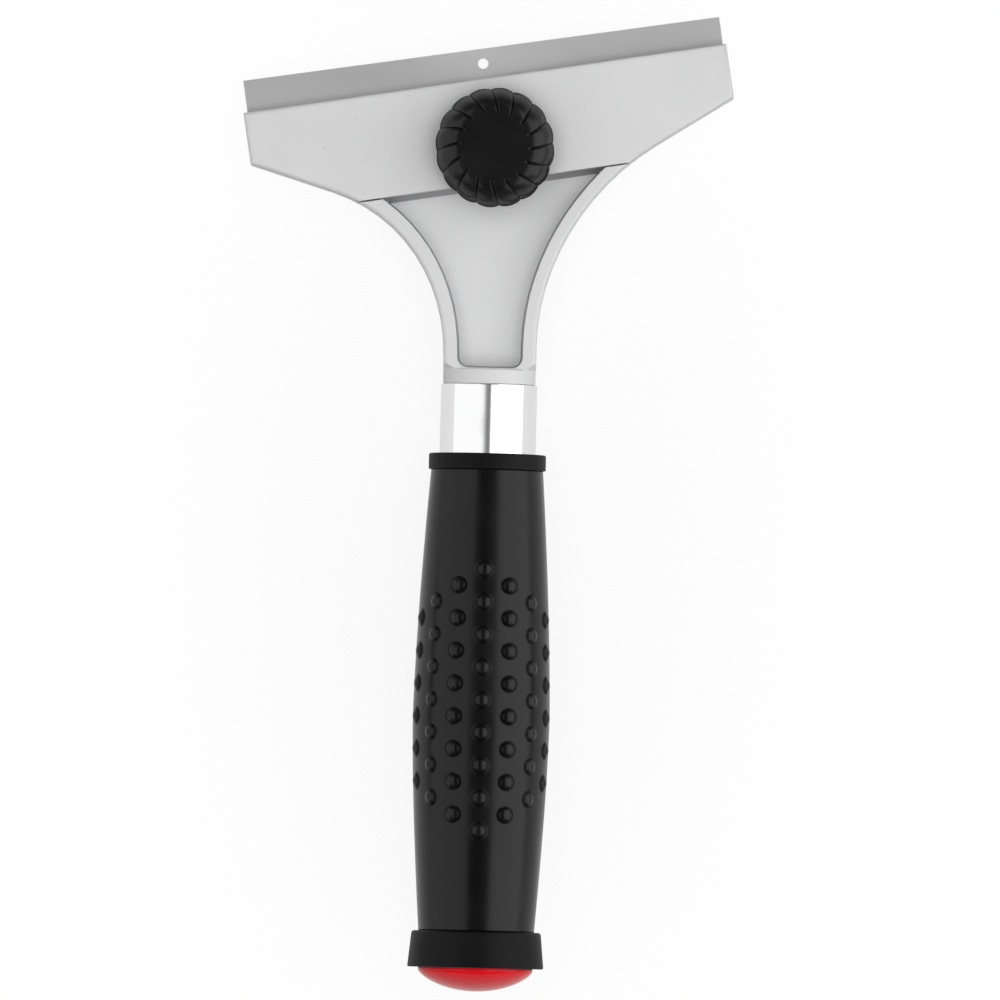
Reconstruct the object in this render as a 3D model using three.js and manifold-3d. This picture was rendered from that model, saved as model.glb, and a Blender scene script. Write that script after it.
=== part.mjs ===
// A hand scraper: a cast two-piece head clamps a steel blade under one knob, on a tube with a moulded grip.
// Millimetres. The handle runs along Y with the blade towards +Y, and the knob faces +Z.
// "Down" is a distance from the knob's axis along the handle towards its butt.
import * as THREE from "three";
import { mergeVertices } from "three/addons/utils/BufferGeometryUtils.js";
import Module from "manifold-3d";

const { degToRad, lerp } = THREE.MathUtils;

// Fits
const END_GAP = 0.15; // end to end between neighbours along the handle or the bolt
const ROUND_GAP = 0.15; // all round between a tube or bolt and what it slides in
const CUT_GAP = 0.3; // beside a piece that sits in a pocket or against a shoulder
const BLADE_PLAY = 0.05; // on each flat face of the blade

// Head outline
const HEAD_WIDTH = 101.5; // along the blade
const HEAD_SKEW = degToRad(9.55); // the jaws against square to the handle
const JAW_REACH = 14.8; // knob axis to the jaws' front edge
const END_HEIGHT = 11; // the square-cut ends of the jaws
const PLATE_DROP = 6.85; // knob axis to the clamp plate's lower edge
const FLANK_SLOPE = degToRad(25); // the straight part of each flank
const FLANK_RADIUS = 42; // the hollow curve into the neck
const NECK_WIDTH = 19.6;
const NECK_LENGTH = 49; // knob axis to the tube's end
const CAST_EDGE = 0.9; // rounding of the castings' edges

// Head section
const NECK_THICKNESS = 12.8;
const PLATE_THICKNESS = 4;
const LIP_THICKNESS = 3; // lower jaw under the blade's edge
const BACK_BEVEL_START = 7.2; // knob axis to where the back slopes towards the blade
const LEDGE_WALL = 1.4; // metal between the bolt hole and the ledge behind the blade
const RIB_WIDTH = 2.9;
const POCKET_DEPTH = 7; // front pocket, from the face of the ribs
const POCKET_RAMP = 1.1; // foot of the slope below the clamp plate
const POCKET_DRAFT = 0.4; // how far the walls lean in at the floor
const POCKET_CORNER = 2.2;
const POCKET_END_WALL = 3.4; // solid neck between the pocket and the tube
const BACK_POCKET_DEPTH = 2.4;

// Foot of the neck
const NECK_STEP = 0.4; // how far the tube stands proud of the neck all round
const FOOT_LENGTH = 3; // round boss next to the tube
const FOOT_FLARE = 2.5; // where the boss's round runs out into the flat neck
const SPIGOT_LENGTH = 28;
const SPIGOT_CHAMFER = 1;

// Blade
const BLADE_LENGTH = 100;
const BLADE_HEIGHT = 15.8;
const BLADE_THICKNESS = 0.8;
const BLADE_TILT = degToRad(-0.53); // seated slightly crooked against the ledge
const GROUND_EDGE = 1.2; // width of the bevel ground on the back of the cutting edge
const EDGE_LAND = 0.15; // thickness left at the cutting edge
const BLADE_HOLE_DIAMETER = 2.2;
const BLADE_HOLE_INSET = 3.1; // hole centre from the cutting edge

// Clamp bolt and knob
const BOLT_DIAMETER = 6;
const BOLT_HEAD_FLATS = 10;
const BOLT_HEAD_HEIGHT = 4;
const BOLT_HEAD_SINK = 0.4; // bolt head below the back face
const BOLT_SHORT = 1; // bolt tip below the top of the knob's insert
const BOLT_CHAMFER = 0.6;
const WASHER_DIAMETER = 16;
const WASHER_THICKNESS = 1.2;
const KNOB_DIAMETER = 24.8; // over the lobes
const KNOB_TOP_DIAMETER = 15; // flat disc
const KNOB_HEIGHT = 12;
const KNOB_SHOULDER = 6.5; // height of the domed shoulder
const KNOB_EDGE = 1.2; // rounding of the foot
const KNOB_LOBES = 16;
const KNOB_FLUTE_DEPTH = 0.7;
const KNOB_TWIST = degToRad(-8.5); // flutes lean round from the skirt to the top
const KNOB_REST_TURN = degToRad(5.4); // first valley when the clamp is tight
const KNOB_ROOF = 1.2; // plastic over the thread room
const THREAD_ROOM = 1.8; // clear room above the insert
const INSERT_FLATS = 9;

// Handle
const TUBE_DIAMETER = 20;
const TUBE_WALL = 1.2;
const TUBE_SHOWN = 14.5; // between the neck and the collar
const COLLAR_HEIGHT = 3.3;
const COLLAR_WALL = 2.05;
const GRIP_LENGTH = 96.1;
const GRIP_SWELL_DOWN = 52; // front of the grip to its thickest place
const GRIP_WALL_FRONT = 1.5;
const GRIP_WALL_SWELL = 4.1;
const GRIP_WALL_BUTT = 1.9;
const GRIP_CROWN = 1.5; // power law of the swell: 2 would be a plain parabola
const BUMP_DIAMETER = 3.4;
const BUMP_HEIGHT = 0.7;
const BUMP_ROOT = 0.6; // how deep a bump's foot is sunk in the grip
const BUMP_PITCH = 6.8; // along the handle
const BUMP_COLUMN_STEP = degToRad(23.8); // round the handle
const BUMP_SIDE_COLUMNS = 3; // columns each side of the middle one
const BUMP_MIDDLE_COUNT = 9; // each column further out has one fewer
const BUMP_FIELDS = 2; // one in front and one behind

// Butt
const CAP_HEIGHT = 7.6;
const CAP_WALL_FRONT = 3.3;
const CAP_WALL_BUTT = 4.05;
const CAP_FLOOR = 2.2; // between the tube's end and the button
const CAP_RIM = 2.25; // ring of the cap that shows round the button
const CAP_PLUG_LENGTH = 12; // plug inside the tube, beyond the cap's face
const CAP_PLUG_WALL = 1.8;
const MOULD_EDGE = 0.4; // edge break on the collar and the cap
const BUTTON_RECESS = 1.4; // how deep the button's flange is let into the cap
const BUTTON_RIM = 0.4; // straight rim below the cap
const BUTTON_DOME = 4.5;
const BUTTON_PIN_DIAMETER = 6;
const BUTTON_PIN_LENGTH = 7;

// Facets
const ROUND_SIDES = 48;
const BOLT_SIDES = 32;
const BUMP_SIDES = 8;
const FLANK_STEPS = 12;
const CORNER_STEPS = 4;
const GRIP_STEPS = 7; // on each side of the swell
const DOME_STEPS = 6;
const LOBE_POINTS = 5;
const SHOULDER_STEPS = 4;
const CAST_EDGE_STEPS = 2;

// Levels through the head, from the handle's axis
const headFront = NECK_THICKNESS / 2;
const headBack = -headFront;
const plateBack = headFront - PLATE_THICKNESS;
const heelTop = plateBack - BLADE_PLAY;
const bladeBack = plateBack - BLADE_PLAY - BLADE_THICKNESS;
const recessFloor = bladeBack - BLADE_PLAY;
const lipBack = recessFloor - LIP_THICKNESS;
const boltHeadBottom = headBack + BOLT_HEAD_SINK;
const boltHeadTop = boltHeadBottom + BOLT_HEAD_HEIGHT;
const knobFoot = headFront + WASHER_THICKNESS + END_GAP;
const insertHeight = KNOB_HEIGHT - KNOB_ROOF - THREAD_ROOM;
const boltHole = BOLT_DIAMETER / 2 + ROUND_GAP;
const ledge = boltHole + LEDGE_WALL; // knob axis to the ledge behind the blade

// Places down the handle
const collarFront = NECK_LENGTH + TUBE_SHOWN;
const gripFront = collarFront + COLLAR_HEIGHT;
const gripSwell = gripFront + GRIP_SWELL_DOWN;
const gripButt = gripFront + GRIP_LENGTH;
const capButt = gripButt + CAP_HEIGHT;
const buttonSeat = capButt - BUTTON_RECESS;
const tubeButt = buttonSeat - CAP_FLOOR;

// Radii round the handle
const tubeOuter = TUBE_DIAMETER / 2;
const tubeBore = tubeOuter - TUBE_WALL;
const sleeveBore = tubeOuter + ROUND_GAP;
const plugOuter = tubeBore - ROUND_GAP;
const capOuter = sleeveBore + CAP_WALL_BUTT;
const buttonOuter = capOuter - CAP_RIM;

// Both flanks are one curve, mirrored along the blade's direction: a slope, then an arc about this centre.
const jawEndFoot = JAW_REACH - END_HEIGHT;
const slopeFall = Math.tan(FLANK_SLOPE);
const arcCentreAlong = NECK_WIDTH / 2 + FLANK_RADIUS;
const slopeEnd = arcCentreAlong - FLANK_RADIUS * Math.sin(FLANK_SLOPE);
const slopeEndDown = slopeFall * (HEAD_WIDTH / 2 - slopeEnd) - jawEndFoot / Math.cos(HEAD_SKEW);
const arcCentreDown = slopeEndDown + FLANK_RADIUS * Math.cos(FLANK_SLOPE);

const beyond = HEAD_WIDTH; // far enough for a cutter to pass right through

const wasm = await Module();
wasm.setup();

// A closed geometry as a solid that can be joined and cut.
function solid(geometry) {
  const bare = new THREE.BufferGeometry();
  bare.setAttribute("position", geometry.getAttribute("position"));
  bare.setIndex(geometry.index);
  const merged = mergeVertices(bare);
  const vertProperties = merged.getAttribute("position").array;
  const triVerts = new Uint32Array(merged.index.array);
  return new wasm.Manifold(new wasm.Mesh({ numProp: 3, vertProperties, triVerts }));
}

function cut(body, ...geometries) {
  return geometries.reduce((rest, geometry) => rest.subtract(solid(geometry)), body);
}

function geometryOf(body) {
  const { vertProperties, triVerts } = body.getMesh();
  const geometry = new THREE.BufferGeometry();
  geometry.setAttribute("position", new THREE.BufferAttribute(vertProperties, 3));
  geometry.setIndex(new THREE.BufferAttribute(triVerts, 1));
  geometry.computeVertexNormals();
  return geometry;
}

function piece(name, geometry, material) {
  const mesh = new THREE.Mesh(geometry, material);
  mesh.name = name;
  return mesh;
}

function count(length) {
  return [...Array(length).keys()];
}

// A solid of revolution about the handle. The profile is [radius, down] pairs.
function turned(profile) {
  const points = profile.map(([radius, down]) => new THREE.Vector2(radius, -down));
  return new THREE.LatheGeometry(points, ROUND_SIDES);
}

// A solid of revolution about the knob's axis. The profile is [radius, level] pairs.
function turnedUpright(profile) {
  const points = profile.map(([radius, level]) => new THREE.Vector2(radius, level));
  return new THREE.LatheGeometry(points, BOLT_SIDES).rotateX(Math.PI / 2);
}

function roundBar(radius, bottom, top) {
  return turnedUpright([
    [0, bottom],
    [radius, bottom],
    [radius, top],
    [0, top],
  ]);
}

function prism(outline, bottom, top) {
  const shape = new THREE.Shape(outline);
  const raised = new THREE.ExtrudeGeometry(shape, { depth: top - bottom, bevelEnabled: false });
  return raised.translate(0, 0, bottom);
}

// A hexagon with two flats along the blade.
function hexagon(flats) {
  const corner = flats / 2 / Math.cos(Math.PI / 6);
  return count(6).map((k) => {
    const angle = (k * Math.PI) / 3 + HEAD_SKEW;
    return new THREE.Vector2(corner * Math.cos(angle), corner * Math.sin(angle));
  });
}

// A straight bar along X with a section of [y, z] points.
function bar(section, length) {
  const outline = section.map(([y, z]) => new THREE.Vector2(y, z));
  const lying = new THREE.Matrix4().set(0, 0, 1, 0, 1, 0, 0, 0, 0, 1, 0, 0, 0, 0, 0, 1);
  return prism(outline, -length / 2, length / 2).applyMatrix4(lying);
}

// A cutter along the jaws with a section of [square to the blade, level] points.
function jawCutter(section) {
  return bar(section, 2 * beyond).rotateZ(HEAD_SKEW);
}

// A point of the jaws: along the blade, and square to it towards the cutting edge.
function jawPoint(along, square) {
  return new THREE.Vector2(along, square).rotateAround(new THREE.Vector2(), HEAD_SKEW);
}

// A point of the neck: along the blade's direction, and down the handle.
function neckPoint(along, down) {
  return new THREE.Vector2(along * Math.cos(HEAD_SKEW), along * Math.sin(HEAD_SKEW) - down);
}

// The hollow arc of one flank between two angles, 0 being where it runs straight down the neck.
function flankArc(side, inset, startAngle, endAngle) {
  const radius = FLANK_RADIUS + inset;
  return count(FLANK_STEPS + 1).map((step) => {
    const angle = lerp(startAngle, endAngle, step / FLANK_STEPS);
    const along = arcCentreAlong - radius * Math.cos(angle);
    return neckPoint(side * along, arcCentreDown - radius * Math.sin(angle));
  });
}

// The corner where a flank's slope meets the square-cut end of the jaws.
function jawCorner(side) {
  const lean = side * Math.sin(HEAD_SKEW);
  const slopeTop = slopeEndDown + slopeFall * slopeEnd;
  const along = (HEAD_WIDTH / 2 + lean * slopeTop) / (1 + lean * slopeFall);
  return neckPoint(side * along, slopeTop - slopeFall * along);
}

function headOutline() {
  const flank = (side) => [
    jawPoint((side * HEAD_WIDTH) / 2, JAW_REACH),
    jawCorner(side),
    ...flankArc(side, 0, Math.PI / 2 - FLANK_SLOPE, 0),
    neckPoint((side * NECK_WIDTH) / 2, NECK_LENGTH + NECK_WIDTH),
  ];
  return [...flank(-1), ...flank(1).reverse()];
}

// The slab with rounded edges that both jaws are cut from.
function headBlank() {
  const slab = new THREE.ExtrudeGeometry(new THREE.Shape(headOutline()), {
    depth: NECK_THICKNESS - 2 * CAST_EDGE,
    bevelThickness: CAST_EDGE,
    bevelSize: CAST_EDGE,
    bevelOffset: -CAST_EDGE,
    bevelSegments: CAST_EDGE_STEPS,
  });
  return solid(slab.translate(0, 0, headBack + CAST_EDGE));
}

// The pocket between the ribs. Its top runs under the clamp plate, and its foot is square to the handle.
function pocketOutline() {
  const radius = FLANK_RADIUS + RIB_WIDTH;
  const angleAt = (down) => Math.asin(Math.max(0, (arcCentreDown - down) / radius));
  const foot = NECK_LENGTH - POCKET_END_WALL;
  const cornerDown = foot - POCKET_CORNER;
  const startAngle = angleAt(PLATE_DROP / Math.cos(HEAD_SKEW) - POCKET_RAMP);
  const endAngle = angleAt(cornerDown - (NECK_WIDTH / 2) * Math.sin(HEAD_SKEW));
  const halfWidth = (arcCentreAlong - radius * Math.cos(endAngle)) * Math.cos(HEAD_SKEW);
  const flank = (side) => {
    const corner = count(CORNER_STEPS + 1).map((step) => {
      const angle = (step / CORNER_STEPS) * (Math.PI / 2);
      const across = halfWidth - POCKET_CORNER * (1 - Math.cos(angle));
      return new THREE.Vector2(side * across, -cornerDown - POCKET_CORNER * Math.sin(angle));
    });
    return [...flankArc(side, RIB_WIDTH, startAngle, endAngle), ...corner];
  };
  return [...flank(-1), ...flank(1).reverse()];
}

// A drafted pocket sunk from one face of the neck, leaving a slope that starts at a level under the jaws.
function pocketCutter(face, slopeLevel, floor) {
  const depth = Math.abs(face - floor);
  const drafted = new THREE.ExtrudeGeometry(new THREE.Shape(pocketOutline()), {
    depth: NECK_THICKNESS,
    bevelThickness: depth,
    bevelSize: POCKET_DRAFT,
    bevelOffset: -POCKET_DRAFT,
    bevelSegments: 1,
  });
  drafted.translate(0, 0, face > floor ? face : face - NECK_THICKNESS);
  const underFloor = floor + (floor - face);
  const land = jawCutter([
    [-PLATE_DROP, slopeLevel],
    [-PLATE_DROP - POCKET_RAMP, floor],
    [-PLATE_DROP - POCKET_RAMP, underFloor],
    [JAW_REACH, underFloor],
    [JAW_REACH, slopeLevel],
  ]);
  return cut(solid(drafted), land);
}

// Cast base of the head: lower jaw, ribbed neck, round boss at its foot and the spigot inside the tube.
function headCasting() {
  const footRadius = tubeOuter - NECK_STEP;
  const footTop = NECK_LENGTH - FOOT_LENGTH;
  const flareTop = footTop - FOOT_FLARE;
  const flareRadius = Math.hypot(NECK_WIDTH / 2 + FOOT_FLARE / 2, headFront);
  const flatNeck = turned([
    [0, footTop],
    [footRadius, footTop],
    [flareRadius, flareTop],
    [beyond, flareTop],
    [beyond, -beyond],
    [0, -beyond],
  ]);
  const spigotEnd = NECK_LENGTH + SPIGOT_LENGTH;
  const footAndSpigot = turned([
    [0, spigotEnd],
    [plugOuter - SPIGOT_CHAMFER, spigotEnd],
    [plugOuter, spigotEnd - SPIGOT_CHAMFER],
    [plugOuter, NECK_LENGTH],
    [footRadius, NECK_LENGTH],
    [footRadius, footTop],
    [0, footTop],
  ]);
  const plateSeat = jawCutter([
    [-PLATE_DROP - CUT_GAP, heelTop],
    [beyond, heelTop],
    [beyond, beyond],
    [-PLATE_DROP - CUT_GAP, beyond],
  ]);
  const bladeRecess = jawCutter([
    [ledge, recessFloor],
    [beyond, recessFloor],
    [beyond, beyond],
    [ledge, beyond],
  ]);
  const backBevel = jawCutter([
    [BACK_BEVEL_START, headBack],
    [BACK_BEVEL_START, -beyond],
    [beyond, -beyond],
    [beyond, lipBack],
    [JAW_REACH, lipBack],
  ]);
  const boltHeadRecess = prism(hexagon(BOLT_HEAD_FLATS + 2 * CUT_GAP), -beyond, boltHeadTop + END_GAP);
  const boltBore = roundBar(boltHole, -beyond, beyond);
  const frontPocket = pocketCutter(headFront, heelTop, headFront - POCKET_DEPTH);
  const backPocket = pocketCutter(headBack, headBack, headBack + BACK_POCKET_DEPTH);
  const whole = headBlank().intersect(solid(flatNeck)).add(solid(footAndSpigot));
  const jawed = cut(whole, plateSeat, bladeRecess, backBevel, boltHeadRecess, boltBore);
  return geometryOf(jawed.subtract(frontPocket).subtract(backPocket));
}

// Cast front jaw: the head's own outline down to the seam, with a clearance hole for the bolt.
function clampPlate() {
  const behindAndBelow = jawCutter([
    [-PLATE_DROP, beyond],
    [-2 * beyond, beyond],
    [-2 * beyond, -beyond],
    [beyond, -beyond],
    [beyond, plateBack],
    [-PLATE_DROP, plateBack],
  ]);
  return geometryOf(cut(headBlank(), behindAndBelow, roundBar(boltHole, -beyond, beyond)));
}

// Steel strip drawn from the middle of its seated edge, with its cutting edge ground on the back.
function bladeStrip() {
  const half = BLADE_LENGTH / 2;
  const strip = new THREE.Shape([
    new THREE.Vector2(-half, 0),
    new THREE.Vector2(half, 0),
    new THREE.Vector2(half, BLADE_HEIGHT),
    new THREE.Vector2(-half, BLADE_HEIGHT),
  ]);
  const hole = new THREE.Path();
  hole.absarc(0, BLADE_HEIGHT - BLADE_HOLE_INSET, BLADE_HOLE_DIAMETER / 2, 0, 2 * Math.PI);
  strip.holes.push(hole);
  const plain = new THREE.ExtrudeGeometry(strip, { depth: BLADE_THICKNESS, bevelEnabled: false });
  const groundAway = bar(
    [
      [BLADE_HEIGHT - GROUND_EDGE, 0],
      [BLADE_HEIGHT, BLADE_THICKNESS - EDGE_LAND],
      [BLADE_HEIGHT + GROUND_EDGE, BLADE_THICKNESS - EDGE_LAND],
      [BLADE_HEIGHT + GROUND_EDGE, -BLADE_THICKNESS],
      [BLADE_HEIGHT - GROUND_EDGE, -BLADE_THICKNESS],
    ],
    2 * BLADE_LENGTH,
  );
  return geometryOf(cut(solid(plain), groundAway));
}

// Hexagon bolt: head let into the casting's back, plain shank up into the knob.
function clampBolt() {
  const tip = knobFoot + insertHeight - BOLT_SHORT;
  const radius = BOLT_DIAMETER / 2;
  const rootLevel = boltHeadTop - BOLT_HEAD_HEIGHT / 2;
  const shank = turnedUpright([
    [0, rootLevel],
    [radius, rootLevel],
    [radius, tip - BOLT_CHAMFER],
    [radius - BOLT_CHAMFER, tip],
    [0, tip],
  ]);
  const head = prism(hexagon(BOLT_HEAD_FLATS), boltHeadBottom, boltHeadTop);
  return geometryOf(solid(head).add(solid(shank)));
}

function knobWasher() {
  const outer = WASHER_DIAMETER / 2;
  return turnedUpright([
    [boltHole, 0],
    [outer, 0],
    [outer, WASHER_THICKNESS],
    [boltHole, WASHER_THICKNESS],
    [boltHole, 0],
  ]);
}

function knobInsert() {
  const nut = solid(prism(hexagon(INSERT_FLATS), 0, insertHeight));
  return geometryOf(cut(nut, roundBar(boltHole, -insertHeight, 2 * insertHeight)));
}

// The knob's outline at unit radius: convex lobes that meet in sharp valleys.
function lobedOutline() {
  const points = KNOB_LOBES * LOBE_POINTS;
  const depth = KNOB_FLUTE_DEPTH / (KNOB_DIAMETER / 2);
  return count(points).map((index) => {
    const angle = (index / points) * 2 * Math.PI;
    const radius = 1 - depth * (1 - Math.abs(Math.sin((KNOB_LOBES / 2) * angle)));
    return new THREE.Vector2(radius * Math.cos(angle), radius * Math.sin(angle));
  });
}

// Height and radius of each level of the knob, and its share of the flutes: foot, skirt, domed shoulder.
function knobLevels() {
  const outer = KNOB_DIAMETER / 2;
  const top = KNOB_TOP_DIAMETER / 2;
  const skirtTop = KNOB_HEIGHT - KNOB_SHOULDER;
  const shoulder = count(SHOULDER_STEPS + 1).map((step) => {
    const angle = (step / SHOULDER_STEPS) * (Math.PI / 2);
    const fluted = Math.cos(angle);
    return [skirtTop + KNOB_SHOULDER * Math.sin(angle), lerp(top, outer, fluted), fluted];
  });
  return [[0, outer - KNOB_EDGE / 2, 1], [KNOB_EDGE, outer, 1], ...shoulder];
}

// Moulded knob: the lobed outline drawn up through the levels, where the flutes lean round and run out
// at the flat top, and a socket for its insert.
function knobBody() {
  const levels = knobLevels();
  const steps = levels.length - 1;
  const shape = new THREE.Shape(lobedOutline());
  const drawn = new THREE.ExtrudeGeometry(shape, { depth: steps, steps, bevelEnabled: false });
  const position = drawn.getAttribute("position");
  const upright = new THREE.Vector3(0, 0, 1);
  const corner = new THREE.Vector3();
  for (let index = 0; index < position.count; index += 1) {
    corner.fromBufferAttribute(position, index);
    const [height, radius, fluted] = levels[Math.round(corner.z)];
    corner.setZ(0);
    corner.setLength(radius * lerp(1, corner.length(), fluted));
    corner.setZ(height);
    corner.applyAxisAngle(upright, lerp(KNOB_REST_TURN + KNOB_TWIST, KNOB_REST_TURN, fluted));
    position.setXYZ(index, corner.x, corner.y, corner.z);
  }
  const socket = prism(hexagon(INSERT_FLATS + 2 * CUT_GAP), -KNOB_HEIGHT, insertHeight + END_GAP);
  const threadRoom = roundBar(boltHole, 0, KNOB_HEIGHT - KNOB_ROOF);
  return geometryOf(cut(solid(drawn), socket, threadRoom));
}

function shaftTube() {
  const front = NECK_LENGTH + END_GAP;
  const butt = tubeButt - END_GAP;
  return turned([
    [tubeBore, butt],
    [tubeOuter, butt],
    [tubeOuter, front],
    [tubeBore, front],
    [tubeBore, butt],
  ]);
}

function gripCollar() {
  const outer = sleeveBore + COLLAR_WALL;
  return turned([
    [sleeveBore, gripFront],
    [outer, gripFront],
    [outer, collarFront + MOULD_EDGE],
    [outer - MOULD_EDGE, collarFront],
    [sleeveBore, collarFront],
    [sleeveBore, gripFront],
  ]);
}

// Outer radius of the grip, which falls away from the swell towards each end.
function gripRadius(down) {
  const end = down < gripSwell ? gripFront : gripButt;
  const endWall = down < gripSwell ? GRIP_WALL_FRONT : GRIP_WALL_BUTT;
  const share = (down - gripSwell) / (end - gripSwell);
  return sleeveBore + lerp(GRIP_WALL_SWELL, endWall, share ** GRIP_CROWN);
}

// One domed bump, a cap of a sphere with its foot sunk in the grip, standing along Y.
function bumpDome() {
  const sphere = ((BUMP_DIAMETER / 2) ** 2 + BUMP_HEIGHT ** 2) / (2 * BUMP_HEIGHT);
  const ring = (height) => {
    const fromCentre = sphere - BUMP_HEIGHT + height;
    return new THREE.Vector2(Math.sqrt(sphere ** 2 - fromCentre ** 2), height);
  };
  const foot = new THREE.Vector2(0, -BUMP_ROOT);
  const apex = new THREE.Vector2(0, BUMP_HEIGHT);
  return new THREE.LatheGeometry([foot, ring(-BUMP_ROOT), ring(BUMP_HEIGHT / 2), apex], BUMP_SIDES);
}

// Where the bumps stand: staggered columns that get shorter away from the middle of each field.
function bumpPlaces() {
  const standing = new THREE.Vector3(0, 1, 0);
  const fieldMiddle = (gripFront + gripButt) / 2;
  const places = [];
  for (let field = 0; field < BUMP_FIELDS; field += 1) {
    for (let column = -BUMP_SIDE_COLUMNS; column <= BUMP_SIDE_COLUMNS; column += 1) {
      const angle = (field / BUMP_FIELDS) * 2 * Math.PI + column * BUMP_COLUMN_STEP;
      const outward = new THREE.Vector3(Math.sin(angle), 0, Math.cos(angle));
      const turn = new THREE.Quaternion().setFromUnitVectors(standing, outward);
      const bumps = BUMP_MIDDLE_COUNT - Math.abs(column);
      for (let row = 0; row < bumps; row += 1) {
        const down = fieldMiddle + (row - (bumps - 1) / 2) * BUMP_PITCH;
        const foot = outward.clone().multiplyScalar(gripRadius(down)).setY(-down);
        places.push(new THREE.Matrix4().makeRotationFromQuaternion(turn).setPosition(foot));
      }
    }
  }
  return places;
}

// Moulded grip: a swelling sleeve with a field of bumps on each face.
function gripSleeve() {
  const front = gripFront + END_GAP;
  const butt = gripButt - END_GAP;
  const rear = count(GRIP_STEPS).map((step) => lerp(butt, gripSwell, step / GRIP_STEPS));
  const fore = count(GRIP_STEPS + 1).map((step) => lerp(gripSwell, front, step / GRIP_STEPS));
  const outside = [...rear, ...fore].map((down) => [gripRadius(down), down]);
  const sleeve = solid(turned([[sleeveBore, butt], ...outside, [sleeveBore, front], [sleeveBore, butt]]));
  const dome = bumpDome();
  const bumps = bumpPlaces().map((place) => solid(dome.clone().applyMatrix4(place)));
  return geometryOf(bumps.reduce((grip, bump) => grip.add(bump), sleeve));
}

// Moulded cap: a flared ring round the tube's end, with a hollow plug inside the tube.
function buttCap() {
  const frontOuter = sleeveBore + CAP_WALL_FRONT;
  const recess = buttonOuter + CUT_GAP;
  const plugEnd = gripButt - CAP_PLUG_LENGTH;
  const plugBore = plugOuter - CAP_PLUG_WALL;
  const pinHole = BUTTON_PIN_DIAMETER / 2 + ROUND_GAP;
  return turned([
    [recess, capButt],
    [capOuter - MOULD_EDGE, capButt],
    [capOuter, capButt - MOULD_EDGE],
    [frontOuter, gripButt + MOULD_EDGE],
    [frontOuter - MOULD_EDGE, gripButt],
    [sleeveBore, gripButt],
    [sleeveBore, tubeButt],
    [plugOuter, tubeButt],
    [plugOuter, plugEnd],
    [plugBore, plugEnd],
    [plugBore, tubeButt],
    [pinHole, tubeButt],
    [pinHole, buttonSeat],
    [recess, buttonSeat],
    [recess, capButt],
  ]);
}

// Domed end button: its flange sits in the cap and its pin goes through the cap's floor.
function endButton() {
  const pin = BUTTON_PIN_DIAMETER / 2;
  const flangeTop = buttonSeat + END_GAP;
  const pinEnd = flangeTop - BUTTON_PIN_LENGTH;
  const domeFoot = capButt + BUTTON_RIM;
  const dome = count(DOME_STEPS + 1).map((step) => {
    const angle = (step / DOME_STEPS) * (Math.PI / 2);
    return [buttonOuter * Math.sin(angle), domeFoot + BUTTON_DOME * Math.cos(angle)];
  });
  return turned([...dome, [buttonOuter, flangeTop], [pin, flangeTop], [pin, pinEnd], [0, pinEnd]]);
}

const castAlloy = new THREE.MeshStandardMaterial({ color: 0xc9cacb, roughness: 0.6, metalness: 0.75 });
const bladeSteel = new THREE.MeshStandardMaterial({ color: 0xa3a5a6, roughness: 0.4, metalness: 1 });
const platedSteel = new THREE.MeshStandardMaterial({ color: 0xb9bcc0, roughness: 0.35, metalness: 1 });
const brass = new THREE.MeshStandardMaterial({ color: 0xc8a350, roughness: 0.35, metalness: 1 });
const chrome = new THREE.MeshStandardMaterial({ color: 0xe6e7e8, roughness: 0.06, metalness: 1 });
const knobPlastic = new THREE.MeshStandardMaterial({ color: 0x141415, roughness: 0.38, metalness: 0 });
const gripVinyl = new THREE.MeshStandardMaterial({ color: 0x18181a, roughness: 0.42, metalness: 0 });
const mattePlastic = new THREE.MeshStandardMaterial({ color: 0x1a1a1b, roughness: 0.7, metalness: 0 });
const redPlastic = new THREE.MeshStandardMaterial({ color: 0xc8141e, roughness: 0.18, metalness: 0 });

const blade = piece("blade", bladeStrip(), bladeSteel);
const bladeSeat = ledge + CUT_GAP + (BLADE_LENGTH / 2) * Math.abs(Math.sin(BLADE_TILT));
const bladeFoot = jawPoint(0, bladeSeat);
blade.position.set(bladeFoot.x, bladeFoot.y, bladeBack);
blade.rotation.z = HEAD_SKEW + BLADE_TILT;

const washer = piece("knob_washer", knobWasher(), platedSteel.clone());
washer.position.z = headFront;

const knob = new THREE.Group();
knob.position.z = knobFoot;
knob.add(piece("knob", knobBody(), knobPlastic), piece("knob_insert", knobInsert(), brass));

const head = new THREE.Group();
head.add(
  piece("head_casting", headCasting(), castAlloy),
  piece("clamp_plate", clampPlate(), castAlloy.clone()),
  piece("clamp_bolt", clampBolt(), platedSteel),
  blade,
  washer,
  knob,
);

const handle = new THREE.Group();
handle.add(
  piece("shaft_tube", shaftTube(), chrome),
  piece("grip_collar", gripCollar(), mattePlastic),
  piece("grip_sleeve", gripSleeve(), gripVinyl),
  piece("butt_cap", buttCap(), mattePlastic.clone()),
  piece("end_button", endButton(), redPlastic),
);

// The tool lies on its back, with the middle of its box's base at the origin.
const scraper = new THREE.Group();
scraper.add(head, handle);
const extent = new THREE.Box3().setFromObject(scraper, true);
const middle = extent.getCenter(new THREE.Vector3());
scraper.position.set(-middle.x, -middle.y, -extent.min.z);

export default scraper;
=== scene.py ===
"""A hand scraper with a clamped blade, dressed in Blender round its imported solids. Sizes are in metres."""

import math

import bmesh
import bpy
import numpy as np
from mathutils import Matrix, Vector


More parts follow.
